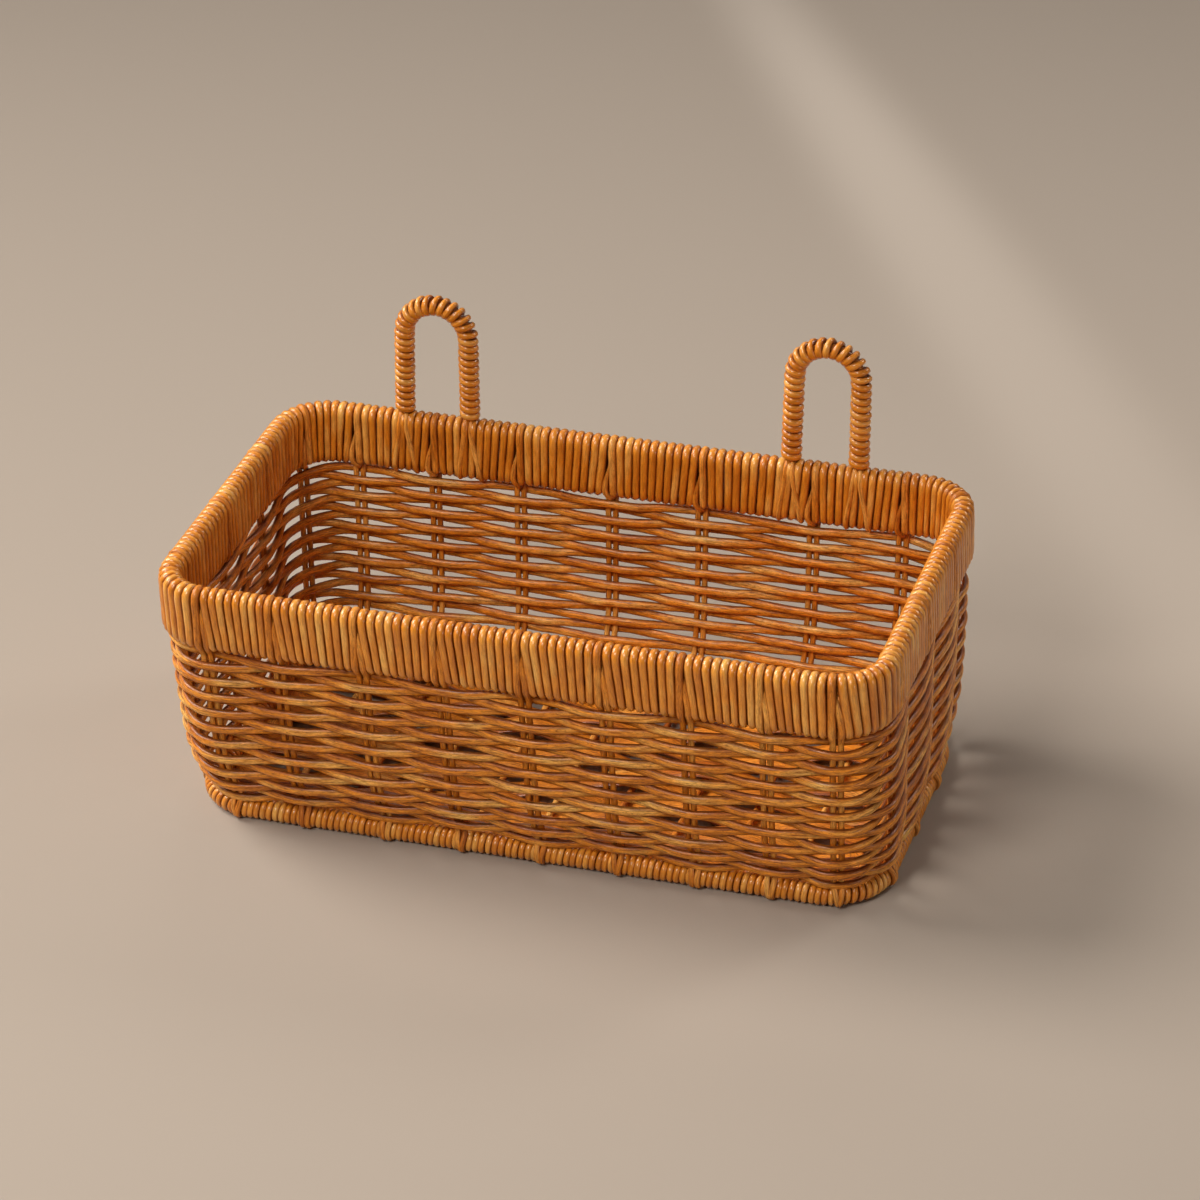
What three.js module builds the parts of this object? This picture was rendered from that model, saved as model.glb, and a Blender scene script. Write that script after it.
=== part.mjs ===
// A wall basket of varnished cane: a rectangular basket with rounded corners, woven on pairs of
// upright stakes, with a tall wrapped rim, a wrapped base hoop and two wrapped hanging loops.
// Millimetres, +Z up, the wall side at +Y, the base standing on Z = 0 under the middle of the rim.
import * as THREE from 'three';

// The basket as a whole, at the rim's outer faces
const RIM_WIDTH = 350;
const RIM_DEPTH = 195;
const RIM_HEIGHT = 134;
const RIM_CORNER_RADIUS = 29;
const RIM_BAND_HEIGHT = 33;

// How far the wall draws in from rim to base, and how much rounder the corners get
const BASE_INSET_X = 2;
const BASE_INSET_Y = 13.5;
const BASE_CORNER_GROWTH = 6;
const WALL_LEAN_SHARE = 0.45;
const WALL_CURVE_POWER = 4;

// Canes: each is a diameter or the thickness of its squared solid
const RIM_HOOP_DIAMETER = 4.4;
const BASE_HOOP_DIAMETER = 3;
const RIM_WRAP_THICKNESS = 3;
const RIM_RIB_PITCH = 9.6;
const RIM_RIB_DEPTH = 1.2;
const BASE_WRAP_THICKNESS = 2.7;
const STAKE_THICKNESS = 3.2;
const WEAVER_THICKNESS = 3.4;
const ROW_GAP = 1;
const RIM_TO_WEAVE_GAP = 1.2;
const CLEARANCE = 0.3;

// The hanging loops on the back of the rim
const HANGER_SPACING = 194;
const HANGER_SPAN = 32.6;
const HANGER_HEIGHT = 62.5;
const HANGER_CORE_DIAMETER = 3;
const HANGER_WRAP_THICKNESS = 2.4;
const HANGER_WRAP_WIDTH = 4.35;
const HANGER_LEG_PITCH = 5.2;
const HANGER_CROWN_PITCH = 6.4;
const HANGER_TAIL = 27;

// The base mat inside the base hoop
const BASE_STICK_THICKNESS = 3.2;
const BASE_STICK_COUNT = 9;
const BASE_STICK_END_GAP = 35;
const BASE_SPLINT_WIDTH = 15;
const BASE_SPLINT_THICKNESS = 2;
const BASE_SPLINT_GAP = 1.3;

// Places of the stake pairs, as shares of half the straight run of their side,
// from left to right on the front and the back and from front to back on the sides
const FRONT_STAKE_SHARES = [-1, -0.76, -0.48, -0.22, 0.05, 0.31, 0.57, 0.82, 1.04];
const BACK_STAKE_SHARES = [-1.15, -0.95, -0.68, -0.38, -0.06, 0.25, 0.63, 0.93, 1.15];
const SIDE_STAKE_SHARES = [-0.93, -0.2, 0.53];

// How far up the rim band the tucked cane of a stake pair reaches; the other goes to its roof
const TUCKED_TIP_SHARE = 0.62;

// The flat part of a rib's crest on the band's outer face, as a share of the pitch
const RIM_CREST_SHARE = 0.45;

// Heights where the wall bends, as shares of the way from the base wrap up to the rim band
const WALL_BEND_SHARES = [0, 0.16, 0.45, 1];

const CANE_COLOURS = {
  weaver: 0xc17f3a,
  stake: 0xa9682a,
  wrap: 0xcc8a44,
  core: 0x9a5c22,
};

// Sizes worked out from those above
const bandThickness = RIM_HOOP_DIAMETER + 2 * (CLEARANCE + RIM_WRAP_THICKNESS);
const bandHalf = bandThickness / 2;
const bandBottom = RIM_HEIGHT - RIM_BAND_HEIGHT;
const baseWrapSize = BASE_HOOP_DIAMETER + 2 * (CLEARANCE + BASE_WRAP_THICKNESS);
const weaveAmplitude = STAKE_THICKNESS / 2 + CLEARANCE + WEAVER_THICKNESS / 2;
const pairOffset = (STAKE_THICKNESS + CLEARANCE) / 2;
const notchHalf = pairOffset + STAKE_THICKNESS / 2 + CLEARANCE;
const lineHalfX = RIM_WIDTH / 2 - bandHalf;
const lineHalfY = RIM_DEPTH / 2 - bandHalf;
const lineRadius = RIM_CORNER_RADIUS - bandHalf;
const straightX = lineHalfX - lineRadius;
const straightY = lineHalfY - lineRadius;
const reachX = straightX + (Math.PI / 4) * lineRadius;
const reachY = straightY + (Math.PI / 4) * lineRadius;
const perimeter = 4 * (reachX + reachY);
const sideCentres = [0, reachX + reachY, 2 * (reachX + reachY), 3 * (reachX + reachY)];

const wallBends = WALL_BEND_SHARES.map((share) => (
  THREE.MathUtils.lerp(baseWrapSize, bandBottom, share)
));

/** How far the wall has drawn in: 0 at the rim band, 1 at the base wrap, straight between bends. */
function drawIn(z) {
  const curve = (share) => (
    WALL_LEAN_SHARE * (1 - share) + (1 - WALL_LEAN_SHARE) * (1 - share) ** WALL_CURVE_POWER
  );
  const height = THREE.MathUtils.clamp(z, baseWrapSize, bandBottom);
  const above = Math.max(1, wallBends.findIndex((bend) => height <= bend));
  const [low, high] = WALL_BEND_SHARES.slice(above - 1, above + 1).map(curve);
  return THREE.MathUtils.mapLinear(height, wallBends[above - 1], wallBends[above], low, high);
}

/** The rounded rectangle that the wall's middle follows at a height. */
function wallOutline(z) {
  const inward = drawIn(z);
  return {
    halfX: lineHalfX - BASE_INSET_X * inward,
    halfY: lineHalfY - BASE_INSET_Y * inward,
    radius: lineRadius + BASE_CORNER_GROWTH * inward,
  };
}

/**
 * A point on a rounded rectangle. The station is a length along the rim, counter-clockwise from
 * the middle of the front. Other outlines keep its share of the way from the middle of its side
 * to the middle of its corner.
 */
function outlinePoint(outline, station, z, outward = 0) {
  let rest = THREE.MathUtils.euclideanModulo(station + reachX, perimeter);
  let side = 0;
  while (side < 3 && rest > 2 * rimReach(side)) {
    rest -= 2 * rimReach(side);
    side += 1;
  }
  const { run, reach, distance } = outlineSide(outline, side);
  const along = (rest / rimReach(side) - 1) * reach;
  const turn = Math.max(0, Math.abs(along) - run) / outline.radius;
  const x = Math.sign(along)
    * (Math.min(Math.abs(along), run) + (outline.radius + outward) * Math.sin(turn));
  const y = distance - outline.radius + (outline.radius + outward) * Math.cos(turn);
  const facing = ((side - 1) * Math.PI) / 2;
  return new THREE.Vector3(
    y * Math.cos(facing) - x * Math.sin(facing),
    y * Math.sin(facing) + x * Math.cos(facing),
    z,
  );
}

/** Half a side's length at the rim, to the middle of its corners. */
function rimReach(side) {
  return side % 2 === 0 ? reachX : reachY;
}

/** Half the straight run of an outline's side, its half length and its distance from the middle. */
function outlineSide({ halfX, halfY, radius }, side) {
  const [half, distance] = side % 2 === 0 ? [halfX, halfY] : [halfY, halfX];
  const run = half - radius;
  return { run, reach: run + (Math.PI / 4) * radius, distance };
}

/** Local directions of the wall at a station and height: up its slope, along it and out of it. */
function wallFrame(station, z) {
  const step = CLEARANCE;
  const at = (s, height) => outlinePoint(wallOutline(height), s, height);
  const along = at(station + step, z).sub(at(station - step, z)).normalize();
  const up = at(station, z + step).sub(at(station, z - step)).normalize();
  const out = new THREE.Vector3().crossVectors(along, up).normalize();
  return { along, up, out };
}

/** A point of the wall, pushed out of it or along it. */
function wallPoint(station, z, outward = 0, sideways = 0) {
  const { along, out } = wallFrame(station, z);
  return outlinePoint(wallOutline(z), station, z)
    .addScaledVector(out, outward)
    .addScaledVector(along, sideways);
}

/** Turns a soup of triangles into a closed indexed geometry whose faces point out. */
function solidGeometry(positions, index) {
  let volume = 0;
  const corner = (i) => new THREE.Vector3().fromArray(positions, 3 * i);
  for (let i = 0; i < index.length; i += 3) {
    volume += corner(index[i]).dot(corner(index[i + 1]).cross(corner(index[i + 2])));
  }
  if (volume < 0) index.reverse();
  const geometry = new THREE.BufferGeometry();
  geometry.setAttribute('position', new THREE.Float32BufferAttribute(positions, 3));
  geometry.setIndex(index);
  geometry.computeVertexNormals();
  return geometry;
}

/**
 * A cane: a flat-sided section carried along a line of points, mitred at each of them.
 * upAt gives the direction that the section's second axis keeps to after each point.
 */
function caneGeometry(points, section, upAt, closed = false) {
  const count = points.length;
  const segments = closed ? count : count - 1;
  const frames = [];
  for (let i = 0; i < segments; i += 1) {
    const along = points[(i + 1) % count].clone().sub(points[i]).normalize();
    const side = new THREE.Vector3().crossVectors(along, upAt(i)).normalize();
    frames.push({ along, side, up: new THREE.Vector3().crossVectors(side, along) });
  }
  const positions = [];
  for (let i = 0; i < count; i += 1) {
    const before = frames[closed ? (i + segments - 1) % segments : Math.max(i - 1, 0)];
    const after = frames[closed ? i : Math.min(i, segments - 1)];
    const mitre = before.along.clone().add(after.along).normalize();
    for (const [a, b] of section) {
      const corner = points[i].clone();
      for (const { along, side, up } of [before, after]) {
        const offset = side.clone().multiplyScalar(a).addScaledVector(up, b);
        offset.addScaledVector(along, -offset.dot(mitre) / along.dot(mitre));
        corner.addScaledVector(offset, 1 / 2);
      }
      positions.push(corner.x, corner.y, corner.z);
    }
  }
  const index = [];
  const sides = section.length;
  for (let i = 0; i < segments; i += 1) {
    const next = (i + 1) % count;
    for (let j = 0; j < sides; j += 1) {
      const k = (j + 1) % sides;
      index.push(i * sides + j, i * sides + k, next * sides + k);
      index.push(i * sides + j, next * sides + k, next * sides + j);
    }
  }
  if (!closed) {
    const last = (count - 1) * sides;
    for (let j = 1; j < sides - 1; j += 1) {
      index.push(0, j + 1, j);
      index.push(last, last + j, last + j + 1);
    }
  }
  return solidGeometry(positions, index);
}

/** A flat-sided section of the given width and thickness. */
function barSection(width, thickness) {
  const [x, y] = [width / 2, thickness / 2];
  return [[-x, -y], [x, -y], [x, y], [-x, y]];
}

/** A round cane's section with the given number of sides. */
function roundSection(diameter, sides) {
  return Array.from({ length: sides }, (unused, i) => {
    const angle = (2 * Math.PI * (i + 1 / 2)) / sides;
    return [(diameter / 2) * Math.cos(angle), (diameter / 2) * Math.sin(angle)];
  });
}

const basket = new THREE.Group();

/** Adds one named cane or wrap of the basket in its colour. */
function addPiece(name, geometry, colour) {
  const material = new THREE.MeshStandardMaterial({ color: colour, roughness: 0.45, metalness: 0 });
  const mesh = new THREE.Mesh(geometry, material);
  mesh.name = name;
  basket.add(mesh);
  return mesh;
}

/** All stake pairs in order round the rim, each with its name and station. */
function stakePlaces() {
  const places = [];
  FRONT_STAKE_SHARES.forEach((share, i) => {
    places.push({ name: `stake_front_${i + 1}`, station: share * straightX });
  });
  SIDE_STAKE_SHARES.forEach((share, i) => {
    places.push({ name: `stake_right_${i + 1}`, station: sideCentres[1] + share * straightY });
    places.push({ name: `stake_left_${i + 1}`, station: sideCentres[3] - share * straightY });
  });
  BACK_STAKE_SHARES.forEach((share, i) => {
    places.push({ name: `stake_back_${i + 1}`, station: sideCentres[2] - share * straightX });
  });
  for (const place of places) {
    place.station = THREE.MathUtils.euclideanModulo(place.station, perimeter);
  }
  return places.sort((a, b) => a.station - b.station);
}

const stakes = stakePlaces();

// Rim hoops: a ring of cane at the top of the band and one near its foot
const hoopTurn = RIM_WRAP_THICKNESS + CLEARANCE + RIM_HOOP_DIAMETER / 2;
const upperHoopHeight = RIM_HEIGHT - hoopTurn;
const lowerHoopHeight = bandBottom + hoopTurn + STAKE_THICKNESS / 2;
const rimLine = { halfX: lineHalfX, halfY: lineHalfY, radius: lineRadius };

/** Puts stations into one round from the middle of the front, in rising order. */
function inOrder(stations) {
  return stations
    .map((station) => THREE.MathUtils.euclideanModulo(station, perimeter))
    .sort((a, b) => a - b);
}

/** Stations round an outline: the ends of its straight runs and steps over its corners. */
function ringStations(outline) {
  const halfCornerSteps = 3;
  const stations = [];
  for (let side = 0; side < 4; side += 1) {
    const { run, reach } = outlineSide(outline, side);
    const scale = rimReach(side) / reach;
    for (let step = 0; step <= halfCornerSteps; step += 1) {
      const away = (run + ((reach - run) * step) / halfCornerSteps) * scale;
      stations.push(sideCentres[side] + away);
      if (step < halfCornerSteps) stations.push(sideCentres[side] - away);
    }
  }
  return inOrder(stations);
}

/** A closed ring of cane beside an outline at a height. */
function hoopGeometry(outline, outward, z, diameter) {
  const points = ringStations(outline).map((station) => outlinePoint(outline, station, z, outward));
  const up = new THREE.Vector3(0, 0, 1);
  return caneGeometry(points, roundSection(diameter, 5), () => up, true);
}

/** A hoop inside the rim band at a height. */
function rimHoop(z) {
  return hoopGeometry(rimLine, 0, z, RIM_HOOP_DIAMETER);
}

addPiece('rim_hoop_upper', rimHoop(upperHoopHeight), CANE_COLOURS.core);
addPiece('rim_hoop_lower', rimHoop(lowerHoopHeight), CANE_COLOURS.core);

// The base hoop lies just inside the feet of the stakes, which come down over its outer face
const floorOutline = wallOutline(0);
const baseHoopInset = BASE_HOOP_DIAMETER / 2 + 2 * CLEARANCE + STAKE_THICKNESS / 2;
const baseHoopHeight = baseWrapSize / 2;
addPiece(
  'base_hoop',
  hoopGeometry(floorOutline, -baseHoopInset, baseHoopHeight, BASE_HOOP_DIAMETER),
  CANE_COLOURS.core,
);

/**
 * A wrap as a ring of blocks: its section is cut into cells, polygons of corners, and each cell is
 * left out in the notches that it names. Blocks share their walls, so the ring is one body. Corners
 * with a dip go in and out along the spans between notches, which gives the wrap its ribs.
 */
function wrapGeometry(outline, notches, corners, cells) {
  const intervals = ringIntervals(outline, notches);
  const positions = [];
  const addVertex = (station, [outward, height]) => {
    const point = outlinePoint(outline, station, height, outward);
    positions.push(point.x, point.y, point.z);
    return { station, vertex: positions.length / 3 - 1 };
  };
  const borders = intervals.map(({ from }) => corners.map(({ at }) => addVertex(from, at)));
  const lines = intervals.map((interval, i) => corners.map((corner, k) => {
    const end = borders[(i + 1) % intervals.length][k];
    const between = interval.uses.length ? [] : lineSteps(outline, interval, corner);
    return [
      borders[i][k],
      ...between.map(({ station, at }) => addVertex(station, at)),
      { station: interval.to, vertex: end.vertex },
    ];
  }));
  const index = [];
  const solidIn = ({ uses }) => cells.filter(({ openFor }) => !openFor.some((use) => uses.includes(use)));
  intervals.forEach((interval, i) => {
    const present = solidIn(interval);
    const before = solidIn(intervals[(i + intervals.length - 1) % intervals.length]);
    const edges = new Set(present.flatMap((cell) => cellEdges(cell).map(([a, b]) => `${a},${b}`)));
    const border = (k) => borders[i][k].vertex;
    for (const cell of present) {
      for (const [a, b] of cellEdges(cell)) {
        if (!edges.has(`${b},${a}`)) index.push(...stitchLines(lines[i][a], lines[i][b]));
      }
      if (!before.includes(cell)) index.push(...capTriangles(cell, border, false));
    }
    for (const cell of before) {
      if (!present.includes(cell)) index.push(...capTriangles(cell, border, true));
    }
  });
  return solidGeometry(positions, index);
}

/** The stretches of a ring between the edges of its notches, in order, and what each is open for. */
function ringIntervals(outline, notches) {
  const cuts = notches.flatMap(({ use, centres, half }) => (
    centres.map((centre) => ({ use, centre, reach: notchReach(outline, centre, half) }))
  ));
  const edges = inOrder(cuts.flatMap(({ centre, reach }) => [centre - reach, centre + reach]));
  return edges.map((from, i) => {
    const to = i + 1 < edges.length ? edges[i + 1] : edges[0] + perimeter;
    const around = cuts.filter((cut) => awayFrom((from + to) / 2, cut.centre) < cut.reach);
    return { from, to, uses: around.map(({ use }) => use) };
  });
}

/** The length between two stations, the short way round. */
function awayFrom(station, centre) {
  const half = perimeter / 2;
  return Math.abs(THREE.MathUtils.euclideanModulo(station - centre + half, perimeter) - half);
}

/** Places of a corner between the ends of a span: on its ribs, or on the ring's own steps. */
function lineSteps(outline, { from, to }, { at, dip, crestShare }) {
  if (!dip) {
    const round = ringStations(outline);
    return [-perimeter, 0, perimeter]
      .flatMap((shift) => round.map((station) => station + shift))
      .filter((station) => station > from + CLEARANCE && station < to - CLEARANCE)
      .map((station) => ({ station, at }));
  }
  const ribs = Math.max(1, Math.round((to - from) / RIM_RIB_PITCH));
  const pitch = (to - from) / ribs;
  const steps = [];
  for (let rib = 0; rib < ribs; rib += 1) {
    const crest = from + pitch * rib;
    const reach = (crestShare * pitch) / 2;
    if (rib > 0) steps.push({ station: crest - reach, at });
    if (rib > 0 && reach > 0) steps.push({ station: crest + reach, at });
    steps.push({ station: crest + pitch / 2, at: [at[0] + dip[0], at[1] + dip[1]] });
  }
  return steps;
}

/** Triangles between two lines of a ring that run side by side from one border to the next. */
function stitchLines(left, right) {
  const triangles = [];
  let [i, j] = [0, 0];
  while (i + 1 < left.length || j + 1 < right.length) {
    const leftNext = left[i + 1]?.station ?? Infinity;
    const rightNext = right[j + 1]?.station ?? Infinity;
    if (leftNext < rightNext) {
      triangles.push(left[i].vertex, left[i + 1].vertex, right[j].vertex);
      i += 1;
    } else {
      triangles.push(left[i].vertex, right[j + 1].vertex, right[j].vertex);
      j += 1;
    }
  }
  return triangles;
}

/** The directed edges of a section cell. */
function cellEdges(cell) {
  return cell.ring.map((corner, i) => [corner, cell.ring[(i + 1) % cell.ring.length]]);
}

/** The end face of a section cell as a fan of triangles. */
function capTriangles(cell, vertex, turned) {
  const triangles = [];
  for (let k = 1; k < cell.ring.length - 1; k += 1) {
    const [a, b, c] = [vertex(cell.ring[0]), vertex(cell.ring[k]), vertex(cell.ring[k + 1])];
    triangles.push(...(turned ? [a, c, b] : [a, b, c]));
  }
  return triangles;
}

/** A notch's half width in stations, where an outline's sides are shorter than the rim's. */
function notchReach(outline, centre, half) {
  const step = half / 2;
  const from = outlinePoint(outline, centre - step, 0);
  return (half * 2 * step) / from.distanceTo(outlinePoint(outline, centre + step, 0));
}

// Rim wrap: cane wound round both hoops, in ribs that stand for two or three turns each, parted
// where a stake pair comes up over the lower hoop and where the legs of the hanging loops go down
// behind the upper one
const stakeNotches = { use: 'stake', centres: stakes.map(({ station }) => station), half: notchHalf };
const hangerLegOffsets = [-1, 1].flatMap((side) => (
  [-1, 1].map((leg) => side * (HANGER_SPACING / 2) + leg * (HANGER_SPAN / 2))
));
const hangerNotches = {
  use: 'hanger',
  centres: hangerLegOffsets.map((x) => sideCentres[2] - x),
  half: HANGER_CORE_DIAMETER / 2 + CLEARANCE,
};
const bandRoof = RIM_HEIGHT - RIM_WRAP_THICKNESS;

function rimWrap() {
  const inner = bandHalf - RIM_WRAP_THICKNESS;
  const shoulder = bandHalf - RIM_WRAP_THICKNESS / 2;
  const floor = bandBottom + RIM_WRAP_THICKNESS;
  const [inwards, outwards, down] = [[-RIM_RIB_DEPTH, 0], [RIM_RIB_DEPTH, 0], [0, -RIM_RIB_DEPTH]];
  const corners = [
    { at: [bandHalf, floor], dip: inwards, crestShare: RIM_CREST_SHARE },
    { at: [bandHalf, bandRoof], dip: inwards, crestShare: RIM_CREST_SHARE },
    { at: [0, RIM_HEIGHT], dip: down, crestShare: 0 },
    { at: [-bandHalf, bandRoof], dip: outwards, crestShare: 0 },
    { at: [-bandHalf, floor], dip: outwards, crestShare: 0 },
    { at: [-shoulder, bandBottom] },
    { at: [shoulder, bandBottom] },
    { at: [inner, floor] },
    { at: [inner, bandRoof] },
    { at: [-inner, bandRoof] },
    { at: [-inner, floor] },
  ];
  const cells = [
    { ring: [0, 1, 8, 7], openFor: ['stake'] },
    { ring: [2, 3, 9, 8, 1], openFor: ['hanger'] },
    { ring: [3, 4, 10, 9], openFor: ['hanger'] },
    { ring: [4, 5, 10], openFor: [] },
    { ring: [5, 6, 0, 7, 10], openFor: ['stake'] },
  ];
  return wrapGeometry(rimLine, [stakeNotches, hangerNotches], corners, cells);
}

addPiece('rim_wrap', rimWrap(), CANE_COLOURS.wrap);

// Base wrap: cane wound round the base hoop, parted at its outer face for each stake pair
function baseWrap() {
  const outer = baseWrapSize / 2;
  const inner = outer - BASE_WRAP_THICKNESS;
  const top = baseWrapSize;
  const roof = top - BASE_WRAP_THICKNESS;
  const floor = BASE_WRAP_THICKNESS;
  const corners = [
    [outer, baseHoopHeight], [inner, top], [-inner, top], [-outer, baseHoopHeight],
    [-inner, 0], [inner, 0], [inner, floor], [inner, roof], [-inner, roof], [-inner, floor],
  ].map(([outward, height]) => ({ at: [outward - baseHoopInset, height] }));
  const cells = [
    { ring: [0, 1, 7, 6, 5], openFor: ['stake'] },
    { ring: [1, 2, 8, 7], openFor: [] },
    { ring: [2, 3, 4, 9, 8], openFor: [] },
    { ring: [4, 5, 6, 9], openFor: [] },
  ];
  return wrapGeometry(floorOutline, [stakeNotches], corners, cells);
}

addPiece('base_wrap', baseWrap(), CANE_COLOURS.wrap);

// Stakes: a cane doubled into a hairpin, its bend on the base hoop and its two ends in the rim
const stakeRimOffset = RIM_HOOP_DIAMETER / 2 + CLEARANCE + STAKE_THICKNESS / 2;
const stakeFoot = STAKE_THICKNESS / 2 + CLEARANCE;

function stakeGeometry(station) {
  const bendStart = bandBottom + STAKE_THICKNESS / 4;
  const tips = [bandRoof - CLEARANCE, bandBottom + RIM_BAND_HEIGHT * TUCKED_TIP_SHARE];
  const [outerLeg, tuckedLeg] = tips.map((tip) => [
    [tip, stakeRimOffset],
    [bendStart + stakeRimOffset + CLEARANCE, stakeRimOffset],
    [bendStart, 0],
    ...wallBends.slice(0, -1).reverse().map((z) => [z, 0]),
    [stakeFoot, 0],
  ]);
  const stops = [...outerLeg, ...tuckedLeg.reverse()];
  const points = stops.map(([z, outward], i) => (
    wallPoint(station, z, outward, i < outerLeg.length ? -pairOffset : pairOffset)
  ));
  const outAfter = (i) => wallFrame(station, (stops[i][0] + stops[i + 1][0]) / 2).out;
  return caneGeometry(points, barSection(STAKE_THICKNESS, STAKE_THICKNESS), outAfter);
}

for (const { name, station } of stakes) {
  addPiece(name, stakeGeometry(station), CANE_COLOURS.stake);
}

// Weaving: two canes chase each other round the stakes, each outside one pair and inside the next,
// and both step up a double row at the back right corner
const STEP_UP_FIRST_STAKE = stakes.findIndex(({ name }) => name === 'stake_right_3');
const STEP_UP_STAKES = 2;
const baseTilt = Math.atan(BASE_INSET_Y * (1 - drawIn(wallBends[1])) / (wallBends[1] - wallBends[0]));
const firstRowHeight = baseWrapSize + CLEARANCE
  + (WEAVER_THICKNESS / 2) * (Math.cos(baseTilt) + Math.sin(baseTilt))
  + weaveAmplitude * Math.sin(baseTilt);
const lastRowHeight = bandBottom - RIM_TO_WEAVE_GAP - WEAVER_THICKNESS / 2;
const wovenHeight = lastRowHeight - firstRowHeight;
const rowPairs = Math.floor((wovenHeight / (WEAVER_THICKNESS + ROW_GAP) + 1) / 2);
const rowPitch = wovenHeight / (2 * rowPairs - 1);

/** Station of a stake counted on round after round. */
function stakeStation(count) {
  const round = Math.floor(count / stakes.length);
  return stakes[count - round * stakes.length].station + round * perimeter;
}

/** How many rounds a weaver has climbed at a place counted in stakes. */
function roundsClimbed(place) {
  const past = (place - STEP_UP_FIRST_STAKE) / stakes.length;
  const whole = Math.floor(past);
  return whole + Math.min(1, ((past - whole) * stakes.length) / STEP_UP_STAKES) - 1;
}

/** One weaver: a long cane over the given rounds, starting outside or inside by its parity. */
function weaverGeometry(parity, firstRound, rounds) {
  const start = STEP_UP_FIRST_STAKE + STEP_UP_STAKES + firstRound * stakes.length;
  const steps = rounds * stakes.length - STEP_UP_STAKES;
  const flatHalf = pairOffset + STAKE_THICKNESS / 2 + WEAVER_THICKNESS / 4;
  const points = [];
  const ups = [];
  const addPoint = (station, place, outward, sideways) => {
    const z = firstRowHeight + rowPitch * (parity + 2 * roundsClimbed(place));
    points.push(wallPoint(station, z, outward, sideways));
    ups.push(wallFrame(station, z).up);
  };
  for (let place = start; place <= start + steps; place += 1) {
    const here = stakeStation(place);
    const next = stakeStation(place + 1);
    const outward = (place + parity) % 2 === 0 ? weaveAmplitude : -weaveAmplitude;
    addPoint(here, place, outward, -flatHalf);
    addPoint(here, place, outward, flatHalf);
    if (place < start + steps && roundsCorner(here, next)) {
      addPoint((here + next) / 2, place + 1 / 2, 0, 0);
    }
  }
  const section = barSection(WEAVER_THICKNESS, WEAVER_THICKNESS);
  return caneGeometry(points, section, (i) => ups[i]);
}

/** True where the way between two stations rounds a corner of the rim. */
function roundsCorner(from, to) {
  const towards = (station) => wallFrame(station, bandBottom).along;
  return towards(from).angleTo(towards(to)) > Math.PI / 8;
}

const lowerRounds = Math.ceil(rowPairs / 2);
for (const [parity, letter] of [[0, 'a'], [1, 'b']]) {
  const upperRounds = rowPairs - lowerRounds;
  addPiece(`weaver_lower_${letter}`, weaverGeometry(parity, 0, lowerRounds), CANE_COLOURS.weaver);
  addPiece(`weaver_upper_${letter}`, weaverGeometry(parity, lowerRounds, upperRounds), CANE_COLOURS.weaver);
}

// Hanging loops: a cane bent to an arch that stands on the middle of the band, wound with thin
// cane, with its tails bent to go down inside the upper hoop
const hangerLineY = lineHalfY;
const hangerTailY = lineHalfY - RIM_HOOP_DIAMETER / 2 - CLEARANCE - HANGER_CORE_DIAMETER / 2;
const tailBends = [
  { y: hangerTailY, z: RIM_HEIGHT - HANGER_TAIL },
  { y: hangerTailY, z: upperHoopHeight + RIM_HOOP_DIAMETER / 2 },
  { y: hangerLineY, z: RIM_HEIGHT + CLEARANCE },
];
const wrapSteps = 6;
const wrapRadius = (HANGER_CORE_DIAMETER / 2 + CLEARANCE + HANGER_WRAP_THICKNESS / 2)
  / Math.cos(Math.PI / wrapSteps);
const hangerOuterRadius = wrapRadius + HANGER_WRAP_THICKNESS / 2;
const crownRadius = HANGER_SPAN / 2;
const springHeight = RIM_HEIGHT + HANGER_HEIGHT - hangerOuterRadius - crownRadius;

/** A point and direction on an arch's middle line, by length from the top of the rim. */
function archAt(centreX, length) {
  const legLength = springHeight - RIM_HEIGHT;
  const crownLength = Math.PI * crownRadius;
  if (length < legLength) {
    return {
      point: new THREE.Vector3(centreX - crownRadius, hangerLineY, RIM_HEIGHT + length),
      along: new THREE.Vector3(0, 0, 1),
    };
  }
  if (length > legLength + crownLength) {
    const down = length - legLength - crownLength;
    return {
      point: new THREE.Vector3(centreX + crownRadius, hangerLineY, springHeight - down),
      along: new THREE.Vector3(0, 0, -1),
    };
  }
  const angle = (length - legLength) / crownRadius;
  const [c, s] = [Math.cos(angle), Math.sin(angle)];
  return {
    point: new THREE.Vector3(centreX - crownRadius * c, hangerLineY, springHeight + crownRadius * s),
    along: new THREE.Vector3(s, 0, c),
  };
}

function hangerCore(centreX) {
  const legLength = springHeight - RIM_HEIGHT;
  const crownLength = Math.PI * crownRadius;
  const bends = 8;
  const points = tailBends.map(({ y, z }) => new THREE.Vector3(centreX - crownRadius, y, z));
  for (let i = 0; i <= bends; i += 1) {
    points.push(archAt(centreX, legLength + (crownLength * i) / bends).point);
  }
  for (const { y, z } of [...tailBends].reverse()) {
    points.push(new THREE.Vector3(centreX + crownRadius, y, z));
  }
  const up = new THREE.Vector3(0, 1, 0);
  return caneGeometry(points, roundSection(HANGER_CORE_DIAMETER, 6), () => up);
}

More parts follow.
